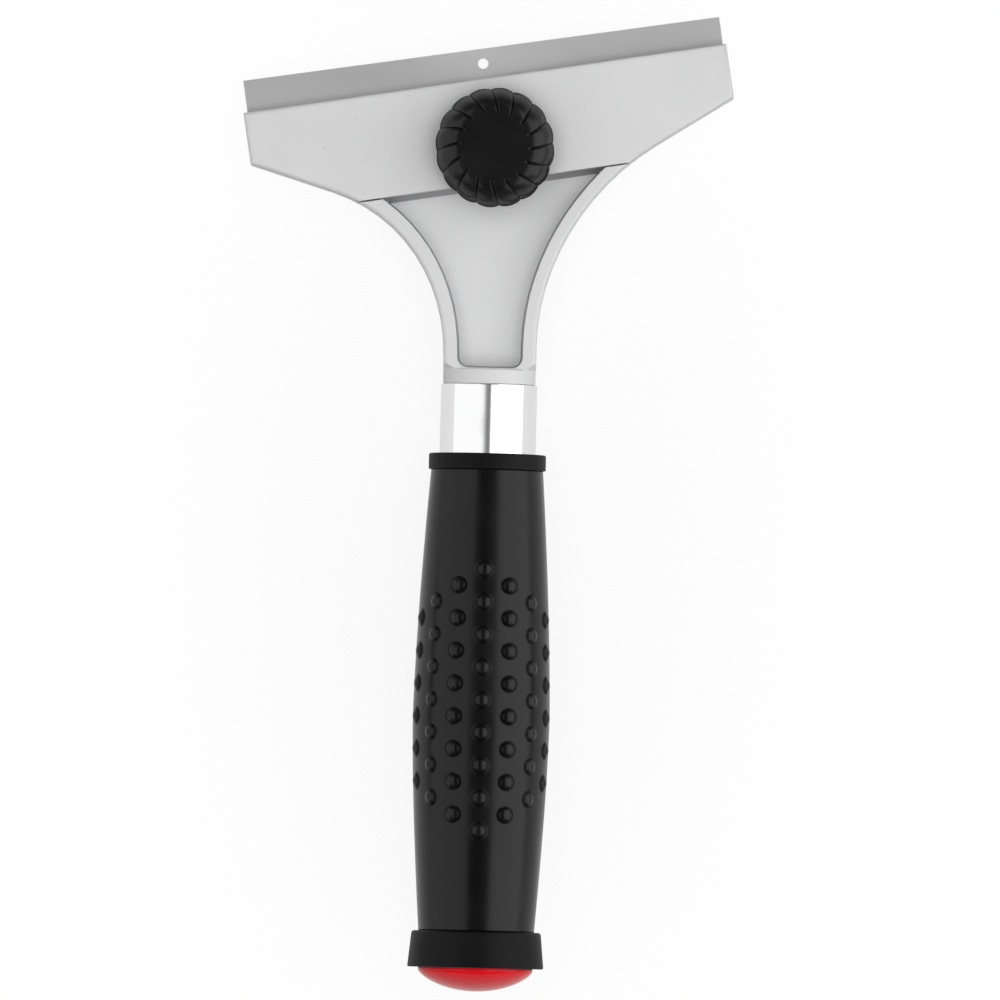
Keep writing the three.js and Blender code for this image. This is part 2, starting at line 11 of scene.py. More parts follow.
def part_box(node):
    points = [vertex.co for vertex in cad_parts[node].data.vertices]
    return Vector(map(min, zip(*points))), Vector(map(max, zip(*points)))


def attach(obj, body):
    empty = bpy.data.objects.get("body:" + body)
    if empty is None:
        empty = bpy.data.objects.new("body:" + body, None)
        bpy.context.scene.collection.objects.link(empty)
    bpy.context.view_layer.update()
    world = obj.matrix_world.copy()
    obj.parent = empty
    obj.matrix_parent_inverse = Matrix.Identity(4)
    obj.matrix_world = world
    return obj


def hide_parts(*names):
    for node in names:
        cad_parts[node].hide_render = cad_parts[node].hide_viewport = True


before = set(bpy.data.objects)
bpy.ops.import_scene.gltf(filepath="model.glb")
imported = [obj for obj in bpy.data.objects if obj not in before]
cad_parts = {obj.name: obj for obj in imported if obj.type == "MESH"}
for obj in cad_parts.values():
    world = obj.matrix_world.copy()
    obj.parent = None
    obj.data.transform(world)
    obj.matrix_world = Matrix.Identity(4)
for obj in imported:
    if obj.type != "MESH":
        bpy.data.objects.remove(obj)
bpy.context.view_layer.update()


# Head casting: the lower jaw, the skewed neck with its two ribs, and the spigot inside the tube.
# Die-cast alloy, tumbled to a matte silver. The walls of the pocket between the ribs are painted dark as
# painted shade, and its floor is painted lighter towards the foot as painted light. The tube is pressed over
# the spigot.
mm = 0.001
cast_edge = 0.15 * mm
cast_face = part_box("clamp_plate")[1].z
tumbled_depth = (1.5 * mm, 3.5 * mm)
pocket_ends = (62 * mm, 32 * mm)
cast_light = (0.67, 0.672, 0.676, 1)
cast_dark = (0.645, 0.647, 0.652, 1)
cast_pit = (0.36, 0.36, 0.37, 1)
cast_rubbed = (0.75, 0.754, 0.76, 1)
painted_floor_light = (0.7, 0.703, 0.708, 1)
painted_foot_light = (0.77, 0.773, 0.778, 1)
painted_wall_shade = (0.36, 0.36, 0.368, 1)


class Signal:
    """A shader socket in a Python expression: operators add Math nodes, and add() adds any other node."""

    def __init__(self, socket):
        self.socket = socket

    def add(self, kind, settings, inputs, output=0):
        tree = self.socket.id_data
        node = tree.nodes.new("ShaderNode" + kind)
        for name, value in settings.items():
            setattr(node, name, value)
        for name, value in inputs.items():
            if isinstance(value, Signal):
                tree.links.new(value.socket, node.inputs[name])
            else:
                node.inputs[name].default_value = value
        return Signal(node.outputs[output])

    def math(self, operation, *values):
        return self.add("Math", {"operation": operation}, dict(enumerate(values)))

    def __add__(self, other):
        return self.math("ADD", self, other)

    def __sub__(self, other):
        return self.math("SUBTRACT", self, other)

    def __rsub__(self, other):
        return self.math("SUBTRACT", other, self)

    def __mul__(self, other):
        return self.math("MULTIPLY", self, other)

    __radd__ = __add__
    __rmul__ = __mul__

    def __abs__(self):
        return self.math("ABSOLUTE", self)

    def larger(self, other):
        return self.math("MAXIMUM", self, other)

    def rise(self, low, high):
        """0 at low, 1 at high and smooth between; low above high makes it fall."""
        inputs = {"Value": self, "From Min": low, "From Max": high}
        return self.add("MapRange", {"interpolation_type": "SMOOTHSTEP"}, inputs)

    def tint(self, low, high):
        """A colour that goes from low to high as this goes from 0 to 1."""
        return self.add("Mix", {"data_type": "RGBA"}, {0: self, 6: low, 7: high}, 2)

    def part(self, axis):
        return self.add("SeparateXYZ", {}, {0: self}, axis)

    def length(self):
        return self.add("VectorMath", {"operation": "LENGTH"}, {0: self}, "Value")

    def noise(self, scale, detail=2.0):
        return self.add("TexNoise", {}, {"Vector": self, "Scale": scale, "Detail": detail})

    def stretched(self, scale, turn=0.0):
        """The same place with each axis scaled, after a turn about Z."""
        inputs = {"Vector": self, "Rotation": (0, 0, turn), "Scale": scale}
        return self.add("Mapping", {}, inputs)

    def painted(self, name):
        """A value that the mesh carries under this name."""
        return self.add("Attribute", {"attribute_name": name}, {}, "Fac")

    def bump(self, strength, distance):
        return self.add("Bump", {}, {"Height": self, "Strength": strength, "Distance": distance})


def start_finish(name, constants):
    """A new material, its surface shader with its constant sockets set, and the place on the piece."""
    material = bpy.data.materials.new(name)
    material.use_nodes = True
    nodes = material.node_tree.nodes
    surface = nodes["Principled BSDF"]
    for socket, value in constants.items():
        surface.inputs[socket].default_value = value
    return material, surface, Signal(nodes.new("ShaderNodeTexCoord").outputs["Object"])


def feed(node, signals):
    for socket, signal in signals.items():
        node.id_data.links.new(signal.socket, node.inputs[socket])


def flat_faced(node):
    """A copy of a solid's mesh with each flat face in one piece."""
    sliver = 0.1 * mm
    flat = math.radians(0.5)
    shape = bmesh.new()
    shape.from_mesh(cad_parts[node].data)
    bmesh.ops.remove_doubles(shape, verts=shape.verts, dist=sliver)
    bmesh.ops.dissolve_limit(shape, angle_limit=flat, verts=shape.verts, edges=shape.edges)
    return shape


def mark_pocket(shape):
    """Marks the lowest floor in a casting's front, for painted light, and the walls round it, for painted
    shade.
    """
    pocket_floor = shape.faces.layers.float.new("pocket_floor")
    pocket_wall_shade = shape.faces.layers.float.new("pocket_wall_shade")
    upward = 0.99
    least_floor = 50 * mm**2
    floors = [each for each in shape.faces if each.normal.z > upward and each.calc_area() > least_floor]
    floor = min(floors, key=lambda each: each.calc_center_median().z)
    for edge in floor.edges:
        for face in edge.link_faces:
            face[pocket_wall_shade] = face is not floor
    floor[pocket_floor] = 1


def ease_edges(shape, edge):
    """Rounds the sharp edges of a shape and marks them as rubbed."""
    sharp = math.radians(47)
    rubbed = shape.faces.layers.float.new("rubbed")
    edges = [each for each in shape.edges if each.calc_face_angle(0) > sharp]
    rounding = bmesh.ops.bevel(
        shape, geom=edges, offset=edge, segments=2, profile=0.5, affect="EDGES", clamp_overlap=False
    )
    for face in rounding["faces"]:
        face[rubbed] = 1


def set_out(name, shape, material):
    """Puts a shape in the scene, in one material."""
    mesh = bpy.data.meshes.new(name)
    shape.to_mesh(mesh)
    shape.free()
    mesh.materials.append(material)
    piece = bpy.data.objects.new(name, mesh)
    bpy.context.scene.collection.objects.link(piece)
    return piece


def fit_piece(name, shape, material, node, body):
    """Makes a smooth piece of a shape, which stands for a solid and rides on its body."""
    piece = set_out(name, shape, material)
    piece.data.shade_smooth()
    piece.modifiers.new("flat_faces", "WEIGHTED_NORMAL")
    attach(piece, body)
    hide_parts(node)
    return piece


def cast_finish():
    material, surface, place = start_finish("tumbled_casting", {"Metallic": 0.25})
    below_face = place.part("Z").rise(*[cast_face - depth for depth in tumbled_depth])
    blotch = place.noise(45, 3).rise(0.3, 0.7)
    grain = place.noise(2400, 4)
    pits = place.noise(520, 1).rise(0.77, 0.81)
    rubbed = place.painted("rubbed") * place.noise(240).rise(0.35, 0.6)
    floor_grit_and_light = place.painted("pocket_floor")
    foot_light_share = place.part("Y").rise(*pocket_ends)
    colour = blotch.tint(cast_dark, cast_light)
    colour = (0.6 * pits).tint(colour, cast_pit)
    colour = (0.35 * rubbed).tint(colour, cast_rubbed)
    # Painted light: the pocket floor is lighter than the face, and lighter still towards the foot. The same
    # mask also gives the floor a coarser grain.
    colour = floor_grit_and_light.tint(colour, foot_light_share.tint(painted_floor_light, painted_foot_light))
    # Painted shade: the walls round the pocket floor are painted dark.
    colour = place.painted("pocket_wall_shade").tint(colour, painted_wall_shade)
    height = grain * (0.35 + 0.4 * below_face + 0.8 * floor_grit_and_light) - 0.6 * pits
    feed(surface, {
        "Base Color": colour,
        "Roughness": 0.62 + 0.1 * grain + 0.08 * below_face - 0.1 * rubbed,
        "Normal": height.bump(0.5, 0.12 * mm),
    })
    return material


casting = cast_finish()
head_shape = flat_faced("head_casting")
mark_pocket(head_shape)
ease_edges(head_shape, cast_edge)
fit_piece("cast_head", head_shape, casting, "head_casting", "base")


# Clamp bolt: a hexagon bolt let into the back of the casting, with its shank up into the knob.
# Steel with a bright zinc plate. The chamfer turned on its head leaves arcs on the six flats.
bolt_low, bolt_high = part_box("clamp_bolt")
bolt_axis = (bolt_low + bolt_high) / 2
bolt_flats = 10 * mm
bolt_head = 4 * mm
bolt_radius = 3 * mm
bolt_tip = 0.6 * mm
bolt_face = 4.75 * mm
bolt_chamfer_slope = math.tan(math.radians(30))
bolt_sharp = math.radians(25)
bolt_steps = 96
jaw_skew = math.radians(9.55)
zinc_light = (0.66, 0.67, 0.68, 1)
zinc_dark = (0.5, 0.51, 0.54, 1)
zinc_straw = (0.62, 0.58, 0.48, 1)


def skin(rings, looped=False):
    """A closed skin over rings of equally many points; rings that shrink to a point become poles."""
    same_place = 0.001 * mm
    shape = bmesh.new()
    rows = [[shape.verts.new(point) for point in ring] for ring in rings]
    for row, following in zip(rows, rows[1:] + rows[:1] if looped else rows[1:]):
        for near, far, far_next, near_next in zip(
            row, following, following[1:] + following[:1], row[1:] + row[:1]
        ):
            shape.faces.new((near, near_next, far_next, far))
    bmesh.ops.remove_doubles(shape, verts=shape.verts, dist=same_place)
    bmesh.ops.recalc_face_normals(shape, faces=shape.faces)
    return shape


def angles(count):
    return [2 * math.pi * step / count for step in range(count)]


def upright_ring(radius_at, level_at, turns):
    """A ring round the bolt's axis, with its radius and level given at each angle."""
    ring = []
    for turn in turns:
        x = bolt_axis.x + radius_at(turn) * math.cos(turn)
        y = bolt_axis.y + radius_at(turn) * math.sin(turn)
        ring.append((x, y, level_at(turn)))
    return ring


def hexagon_radius(flats, turn):
    """The reach of a hexagon with two flats along the blade."""
    sixth = math.pi / 3
    return flats / 2 / math.cos((turn - jaw_skew) % sixth - sixth / 2)


def bolt_shape():
    head_top = bolt_low.z + bolt_head
    reach = lambda turn: hexagon_radius(bolt_flats, turn)
    chamfer = lambda turn: bolt_low.z + (reach(turn) - bolt_face) * bolt_chamfer_slope
    levels = [
        (lambda turn: 0, lambda turn: bolt_low.z),
        (lambda turn: bolt_face, lambda turn: bolt_low.z),
        (reach, chamfer),
        (reach, lambda turn: head_top),
        (lambda turn: bolt_radius, lambda turn: head_top),
        (lambda turn: bolt_radius, lambda turn: bolt_high.z - bolt_tip),
        (lambda turn: bolt_radius - bolt_tip, lambda turn: bolt_high.z),
        (lambda turn: 0, lambda turn: bolt_high.z),
    ]
    return skin([upright_ring(radius, level, angles(bolt_steps)) for radius, level in levels])


def zinc_finish():
    material, surface, place = start_finish("zinc_plate", {"Metallic": 1})
    cloud = place.noise(260, 3).rise(0.3, 0.7)
    straw = place.noise(120, 2).rise(0.55, 0.75)
    scratch = place.stretched((300, 5200, 300), 0.6).noise(1, 2)
    colour = (0.5 * straw).tint(cloud.tint(zinc_dark, zinc_light), zinc_straw)
    feed(surface, {
        "Base Color": colour,
        "Roughness": 0.26 + 0.14 * cloud,
        "Normal": scratch.bump(0.12, 0.05 * mm),
    })
    return material


plated = zinc_finish()
bolt = fit_piece("hex_bolt", bolt_shape(), plated, "clamp_bolt", "base")
bolt.data.set_sharp_from_angle(angle=bolt_sharp)


# Blade: a plain hardened steel strip with a small hole at its middle, ground to an edge on its back.
# It is clamped between the two jaws, a little crooked in its seat. Rolling left fine lines along it.
blade_edge = 0.03 * mm
blade_turn = jaw_skew - math.radians(0.53)
blade_light = (0.545, 0.545, 0.549, 1)
blade_dark = (0.51, 0.51, 0.516, 1)
blade_stain = (0.3, 0.297, 0.293, 1)
blade_bright = (0.55, 0.55, 0.555, 1)


def blade_finish():
    material, surface, place = start_finish("rolled_steel", {"Metallic": 0.65, "Anisotropic": 0.3})
    lines = place.stretched((40, 4200, 40), -blade_turn).noise(1, 3)
    smear = place.stretched((22, 60, 22), -blade_turn).noise(1, 2).rise(0.35, 0.7)
    stain = place.noise(190, 3).rise(0.66, 0.78)
    colour = smear.tint(blade_dark, blade_light)
    colour = (0.25 * stain).tint(colour, blade_stain)
    colour = (0.5 * place.painted("rubbed")).tint(colour, blade_bright)
    feed(surface, {
        "Base Color": colour,
        "Roughness": 0.4 + 0.1 * lines + 0.06 * smear,
        "Normal": lines.bump(0.15, 0.03 * mm),
    })
    return material


blade_shape = flat_faced("blade")
ease_edges(blade_shape, blade_edge)
fit_piece("steel_blade", blade_shape, blade_finish(), "blade", "blade")


# Clamp plate: the cast front jaw, with the head's own outline down to a seam across the ribs.
# The same alloy and finish as the base. It has a plain hole for the bolt and lies on the blade.
jaw_shape = flat_faced("clamp_plate")
ease_edges(jaw_shape, cast_edge)
fit_piece("cast_jaw", jaw_shape, casting, "clamp_plate", "clamp")


# Knob washer: a plain washer between the knob and the clamp plate, so that the plastic doesn't wear.
# Stamped from steel strip, which leaves its edges rounded, and zinc plated.
washer_low, washer_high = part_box("knob_washer")
washer_outer = (washer_high.x - washer_low.x) / 2
washer_bore = 3.15 * mm
washer_edge = 0.25 * mm
turned_steps = 128


def rounded(corners, steps=4):
    """A closed outline through corners given as (across, along, cut), each cut back and rounded."""
    outline = []
    for index, (across, along, cut) in enumerate(corners):
        corner = Vector((across, along))
        before = (Vector(corners[index - 1][:2]) - corner).normalized()
        after = (Vector(corners[(index + 1) % len(corners)][:2]) - corner).normalized()
        for step in range(steps + 1):
            share = step / steps
            outline.append(corner + cut * ((1 - share) ** 2 * before + share**2 * after))
    return outline


washer_corners = [
    (washer_bore, washer_low.z, washer_edge),
    (washer_outer, washer_low.z, washer_edge),
    (washer_outer, washer_high.z, washer_edge),
    (washer_bore, washer_high.z, washer_edge),
]
washer_rings = [
    upright_ring(lambda turn, at=point: at.x, lambda turn, at=point: at.y, angles(turned_steps))
    for point in rounded(washer_corners)
]
fit_piece("flat_washer", skin(washer_rings, looped=True), plated, "knob_washer", "clamp")


# Knob insert: the hexagonal threaded bush moulded into the knob, turned from brass bar.
# It is out of sight inside the knob, so the solid itself stays.
brass_light = (0.72, 0.5, 0.2, 1)
brass_dark = (0.5, 0.33, 0.12, 1)


def brass_finish():
    material, surface, place = start_finish("turned_brass", {"Metallic": 1})
    tarnish = place.noise(200, 3).rise(0.35, 0.7)
    turning = place.stretched((200, 200, 6000)).noise(1, 2)
    feed(surface, {
        "Base Color": tarnish.tint(brass_light, brass_dark),
        "Roughness": 0.25 + 0.2 * tarnish,
        "Normal": turning.bump(0.15, 0.04 * mm),
    })
    return material


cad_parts["knob_insert"].data.materials[0] = brass_finish()


# Knob: black plastic with sixteen lobes, moulded round the insert and screwed on to the bolt. The narrow
# grooves between the lobes lean round as they climb the domed shoulder, and end in small notches at the
# edge of the flat top. Its side is dulled by fingers.
knob_low, knob_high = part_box("knob")
knob_outer = 12.4 * mm
knob_top = 7.5 * mm
knob_skirt = 5.5 * mm
knob_foot = [(0.6 * mm, 0), (0.15 * mm, 0.35 * mm)]
knob_side_shares = (0.2, 0.5, 0.8)
knob_shoulder_steps = 36
knob_top_rings = [0.1 * mm, 0.2 * mm, 0.3 * mm, 0.4 * mm, 0.6 * mm, 1.5 * mm, 4 * mm, knob_top]
knob_lobes = 16
knob_twist = math.radians(-8.5)
knob_rest_turn = math.radians(5.4)
lobe_crown = 0.38 * mm
lobe_points = 24
lobe_crowding = 0.7
groove_depth = 0.5 * mm
groove_width = 0.24
groove_fading = 0.7
notch_start = 7.1 * mm
notch_end = 7.6 * mm
knob_socket_flats = 9.6 * mm
knob_socket_depth = 9.15 * mm
knob_worn = (9.5 * mm, 6.5 * mm)
knob_black = (0.002, 0.002, 0.0021, 1)
knob_grey = (0.004, 0.004, 0.0042, 1)


def smooth(value, low, high):
    share = min(max((value - low) / (high - low), 0), 1)
    return share * share * (3 - 2 * share)


def knob_levels():
    """Radius, level and slope of the surface's normal, from the foot over the shoulder to the middle."""
    dome = knob_high.z - knob_low.z - knob_skirt
    shoulder = knob_outer - knob_top
    upright = math.pi / 2
    levels = [(knob_outer - inward, level, 0) for inward, level in knob_foot]
    levels += [(knob_outer, knob_skirt * share, 0) for share in knob_side_shares]
    for step in range(knob_shoulder_steps + 1):
        bend = math.pi / 2 * step / knob_shoulder_steps
        slope = math.atan2(math.sin(bend) / dome, math.cos(bend) / shoulder)
        levels.append((knob_top + shoulder * math.cos(bend), knob_skirt + dome * math.sin(bend), slope))
    return levels + [(knob_top - inward, knob_skirt + dome, upright) for inward in knob_top_rings]


def knob_ring(radius, level, slope):
    """A ring of lobes, with its grooves sunk square to the surface. Points crowd at the grooves."""
    climb = min(max((radius - knob_top) / (knob_outer - knob_top), 0), 1)
    lean = knob_rest_turn + knob_twist * (1 - climb)
    notched = 1 - groove_fading * climb
    points = []
    for step in range(knob_lobes * lobe_points):
        lobe, share = divmod(step / lobe_points, 1)
        share -= lobe_crowding * math.sin(2 * math.pi * share) / (2 * math.pi)
        from_groove = 1 - abs(2 * share - 1)
        groove = max(1 - (from_groove / (groove_width * notched)) ** 2, 0) ** 2
        sunk = climb * lobe_crown * (1 - from_groove) ** 2
        sunk += smooth(radius, notch_start, notch_end) * groove_depth * notched * groove
        turn = lean + 2 * math.pi * (lobe + share) / knob_lobes
        reach = radius - sunk * math.cos(slope)
        x = bolt_axis.x + reach * math.cos(turn)
        y = bolt_axis.y + reach * math.sin(turn)
        points.append((x, y, knob_low.z + level - sunk * math.sin(slope)))
    return points


def knob_shape():
    turns = angles(knob_lobes * lobe_points)
    socket = lambda turn: hexagon_radius(knob_socket_flats, turn)
    socket_top = knob_low.z + knob_socket_depth
    inside = [
        upright_ring(lambda turn: 0, lambda turn: socket_top, turns),
        upright_ring(socket, lambda turn: socket_top, turns),
        upright_ring(socket, lambda turn: knob_low.z, turns),
    ]
    return skin(inside + [knob_ring(*level) for level in knob_levels()])


def overlay(surface, share, coat):
    """Mixes another shader over a surface, by a share from 0 to 1."""
    output = surface.outputs[0].links[0].to_node
    both = share.add("MixShader", {}, {0: share, 1: Signal(surface.outputs[0]), 2: coat})
    feed(output, {"Surface": both})


def dull(surface, share, colour):
    """Lays a matte colour over a surface, by a share from 0 to 1."""
    overlay(surface, share, share.add("BsdfDiffuse", {}, {"Color": colour}))


def knob_finish():
    material, surface, place = start_finish("moulded_black", {"Specular IOR Level": 0.37})
    cloud = place.noise(150, 3).rise(0.3, 0.75)
    skin_grain = place.noise(1900, 3)
    scuff = place.stretched((900, 260, 600), 0.9).noise(1, 3).rise(0.66, 0.76)
    feed(surface, {
        "Base Color": (0.6 * cloud + 0.5 * scuff).tint(knob_black, knob_grey),
        "Roughness": 0.26 + 0.06 * cloud + 0.06 * scuff,
        "Normal": skin_grain.bump(0.12, 0.04 * mm),
    })
    below_shoulder = place.part("Z").rise(*[knob_low.z + level for level in knob_worn])
    dull(surface, 0.85 * below_shoulder, knob_grey)
    return material


fit_piece("fluted_knob", knob_shape(), knob_finish(), "knob", "knob")


# Shaft tube: a length of drawn steel tube, polished and chromed, pressed over the casting's spigot.
# Only the stretch between the neck and the collar shows. The rest is inside the grip.
tube_low, tube_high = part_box("shaft_tube")
handle_axis = (tube_low + tube_high) / 2
tube_outer = (tube_high.x - tube_low.x) / 2
tube_wall = 1.2 * mm
tube_edge = 0.2 * mm
tube_pressed = 0.1 * mm
tube_front = tube_high.y + tube_pressed
chrome_light = (0.97, 0.972, 0.975, 1)
chrome_dim = (0.92, 0.924, 0.93, 1)


def handle_ring(radius_at, along, count):
    """A ring round the handle at a place along it, with its radius given at each angle from the front."""
    ring = []
    for turn in angles(count):
        x = handle_axis.x + radius_at(turn) * math.sin(turn)
        z = handle_axis.z + radius_at(turn) * math.cos(turn)
        ring.append((x, along, z))
    return ring


def turned(outline, looped):
    """A piece turned about the handle from an outline of (radius, along) points."""
    rings = [handle_ring(lambda turn, at=radius: at, along, turned_steps) for radius, along in outline]
    return skin(rings, looped)


def chrome_finish():
    material, surface, place = start_finish("chrome_plate", {"Metallic": 1})
    smear = place.noise(110, 3).rise(0.45, 0.75)
    hairline = place.stretched((2500, 180, 2500)).noise(1, 3)
    feed(surface, {
        "Base Color": (0.4 * smear).tint(chrome_light, chrome_dim),
        "Roughness": 0.035 + 0.05 * smear,
        "Normal": hairline.bump(0.02, 0.02 * mm),
    })
    return material


tube_corners = [
    (tube_outer - tube_wall, tube_low.y, 0),
    (tube_outer, tube_low.y, tube_edge),
    (tube_outer, tube_front, tube_edge),
    (tube_outer - tube_wall, tube_front, 0),
]
tube_shape = turned(rounded(tube_corners), looped=True)
fit_piece("chromed_tube", tube_shape, chrome_finish(), "shaft_tube", "base")


# Grip collar: a black ring that closes the front of the grip, pushed on to the tube.
# Moulded in matte plastic with fine ribs along the handle all round it.
collar_low, collar_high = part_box("grip_collar")
collar_outer = (collar_high.x - collar_low.x) / 2
collar_edge = 0.2 * mm
sleeve_bore = 10.15 * mm
mould_edge = 0.4 * mm
rib_pitch = 0.5 * mm
rib_depth = 0.03 * mm
rib_wall = 1.2 * mm
points_per_rib = 4
matte_black = (0.0012, 0.0012, 0.0013, 1)
matte_grey = (0.0035, 0.0035, 0.0037, 1)


def ribbed(corners, outer):
    """A turned piece whose outer wall, out to a radius, has fine ribs along the handle."""
    ribs = round(2 * math.pi * outer / rib_pitch)
    rings = []
    for point in rounded(corners):
        share = min(max((point.x - outer) / rib_wall + 1, 0), 1)
        depth = share * rib_depth
        reach = lambda turn: point.x - depth * (0.5 + 0.5 * math.cos(ribs * turn))
        rings.append(handle_ring(reach, point.y, ribs * points_per_rib))
    return skin(rings, looped=True)


def matte_finish():
    material, surface, place = start_finish("matte_plastic", {"Specular IOR Level": 0.18})
    cloud = place.noise(180, 3).rise(0.3, 0.75)
    skin_grain = place.noise(2600, 3)
    dust = place.noise(900, 2).rise(0.64, 0.74)
    feed(surface, {
        "Base Color": (0.5 * cloud + 0.5 * dust).tint(matte_black, matte_grey),
        "Roughness": 0.42 + 0.08 * cloud + 0.06 * skin_grain,
        "Normal": skin_grain.bump(0.25, 0.05 * mm),
    })
    return material


matte = matte_finish()
collar_corners = [
    (sleeve_bore, collar_low.y, 0),
    (collar_outer, collar_low.y, collar_edge),
    (collar_outer, collar_high.y, mould_edge),
    (sleeve_bore, collar_high.y, collar_edge),
]
collar_shape = ribbed(collar_corners, collar_outer)
fit_piece("ribbed_collar", collar_shape, matte, "grip_collar", "base")


# Grip sleeve: soft black vinyl dipped to a swelling shape, with staggered columns of domed bumps
# on its two faces. It is pushed on to the tube up to the collar, and the cap holds it there.
cap_low, cap_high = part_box("butt_cap")
cap_height = 7.6 * mm
cap_face = cap_low.y + cap_height
grip_length = collar_low.y - cap_face
grip_front = 11.65 * mm
grip_swell = 14.25 * mm
grip_butt = 12.05 * mm
swell_down = 52 * mm
swell_power = 1.5
bump_radius = 1.7 * mm
bump_height = 0.7 * mm
bump_foot = 0.08 * mm
bump_pitch = 6.8 * mm
bump_column = math.radians(23.8)
bump_side_columns = 3
bump_middle_count = 9
crease_middle = 0.93
crease_reach = 0.28
grip_around = 320
grip_along = 360
vinyl_black = (0.0012, 0.0012, 0.0013, 1)
vinyl_grey = (0.0038, 0.0038, 0.004, 1)


def grip_radius(down):
    """Radius of the plain sleeve at a distance from its front, which falls away from the swell."""
    behind = down > swell_down
    end_radius = np.where(behind, grip_butt, grip_front)
    reach = np.where(behind, grip_length - swell_down, swell_down)
    return grip_swell + (end_radius - grip_swell) * (np.abs(down - swell_down) / reach) ** swell_power


def bump_places():
    """Angle round the handle and distance from the grip's front of each bump."""
    for face in (0, math.pi):
        for column in range(-bump_side_columns, bump_side_columns + 1):
            count = bump_middle_count - abs(column)
            for row in range(count):
                yield face + column * bump_column, grip_length / 2 + (row - (count - 1) / 2) * bump_pitch


def from_bump(turn, down):
    """Distance along the sleeve to the middle of the nearest bump."""
    nearest = np.inf
    for bump_turn, bump_down in bump_places():
        around = (turn - bump_turn + math.pi) % (2 * math.pi) - math.pi
        nearest = np.minimum(nearest, np.hypot(around * grip_radius(down), down - bump_down))
    return nearest


def grip_shape():
    """The sleeve as a fine grid, raised to a cap of a sphere at each bump, with a soft foot."""
    turn = np.array(angles(grip_around))[None, :]
    down = np.linspace(0, grip_length, grip_along)[:, None]
    sphere = (bump_radius**2 + bump_height**2) / (2 * bump_height)
    rise = np.sqrt(np.maximum(sphere**2 - from_bump(turn, down) ** 2, 0)) - (sphere - bump_height)
    radius = grip_radius(down) + (rise + np.hypot(rise, bump_foot)) / 2
    rings = []
    for row, along in zip(radius, collar_low.y - down[:, 0]):
        reach = lambda at: row[round(at / (2 * math.pi) * grip_around)]
        rings.append(handle_ring(reach, along, grip_around))
    for along in (cap_face, collar_low.y):
        rings.append(handle_ring(lambda at: sleeve_bore, along, grip_around))
    return skin(rings, looped=True)


def paint_crease_shade(piece):
    """Marks the crease round the foot of each bump, where a matte black ring is laid as painted shade."""
    places = np.array([each.co for each in piece.data.vertices]) - np.array(handle_axis)
    turn = np.arctan2(places[:, 0], places[:, 2])
    down = np.clip(collar_low.y - handle_axis.y - places[:, 1], 0, grip_length)
    aside = np.abs(from_bump(turn, down) / bump_radius - crease_middle) / crease_reach
    crease_shade = piece.data.attributes.new("crease_shade", "FLOAT", "POINT")
    crease_shade.data.foreach_set("value", np.clip(1 - aside, 0, 1))


def grip_finish():
    material, surface, place = start_finish("dipped_vinyl", {"Specular IOR Level": 0.33})
    cloud = place.noise(90, 3).rise(0.3, 0.75)
    peel = place.noise(1300, 2)
    scuff = place.stretched((700, 160, 700)).noise(1, 3).rise(0.68, 0.78)
    feed(surface, {
        "Base Color": (0.5 * cloud + 0.4 * scuff).tint(vinyl_black, vinyl_grey),
        "Roughness": 0.22 + 0.07 * cloud + 0.1 * scuff,
        "Normal": peel.bump(0.08, 0.05 * mm),
    })
    # Painted shade: a matte black ring round the foot of each bump.
    dull(surface, 0.62 * place.painted("crease_shade").rise(0, 0.8), vinyl_black)
    return material


grip = fit_piece("bumped_grip", grip_shape(), grip_finish(), "grip_sleeve", "base")
paint_crease_shade(grip)


# Butt cap: a ring that flares towards the butt, with a plug pressed inside the tube's end.
# Moulded in matte black plastic with the same fine ribs as the collar.
cap_outer = (cap_high.x - cap_low.x) / 2
cap_front_outer = 13.45 * mm
cap_front_edge = 0.6 * mm
cap_recess = 12.25 * mm
cap_recess_depth = 1.4 * mm
cap_recess_edge = 0.15 * mm
cap_floor_wall = 2.2 * mm
cap_seat = cap_low.y + cap_recess_depth
cap_floor = cap_seat + cap_floor_wall
plug_outer = 8.65 * mm
plug_bore = 6.85 * mm
pin_hole = 3.15 * mm
cap_corners = [
    (cap_recess, cap_low.y, cap_recess_edge),
    (cap_outer, cap_low.y, mould_edge),
    (cap_front_outer, cap_face, cap_front_edge),
    (sleeve_bore, cap_face, 0),
    (sleeve_bore, cap_floor, 0),
    (plug_outer, cap_floor, 0),
    (plug_outer, cap_high.y, mould_edge),
    (plug_bore, cap_high.y, mould_edge),
    (plug_bore, cap_floor, 0),
    (pin_hole, cap_floor, 0),
    (pin_hole, cap_seat, 0),
    (cap_recess, cap_seat, 0),
]
fit_piece("ribbed_cap", ribbed(cap_corners, cap_outer), matte, "butt_cap", "base")


# End button: a glossy red domed plug, its flange let into the cap and its pin through the cap's floor.
# Moulded in one piece of plastic and polished.
button_low, button_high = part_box("end_button")
button_outer = (button_high.x - button_low.x) / 2
button_dome = 4.5 * mm
button_pin = 3 * mm
button_gap = 0.15 * mm
button_flange = cap_seat - button_gap
pin_edge = 0.5 * mm
dome_steps = 28
dome_fullness = 0.5
red_bright = (0.78, 0.006, 0.014, 1)
red_deep = (0.68, 0.004, 0.011, 1)


def button_outline():
    """Half the button, from its crown to its pin. The dome is between an ellipse and a cap of a sphere."""
    sphere = (button_outer**2 + button_dome**2) / (2 * button_dome)
    outline = []
    for step in range(dome_steps + 1):
        bend = math.pi / 2 * step / dome_steps
        across = button_outer * math.sin(bend)
        full = button_dome * (1 - math.cos(bend))
        slim = sphere - math.sqrt(sphere**2 - across**2)
        outline.append((across, button_low.y + dome_fullness * full + (1 - dome_fullness) * slim))
    return outline + [
        (button_outer, button_flange),
        (button_pin, button_flange),
        (button_pin, button_high.y - pin_edge),
        (button_pin - pin_edge, button_high.y),
        (0, button_high.y),
    ]


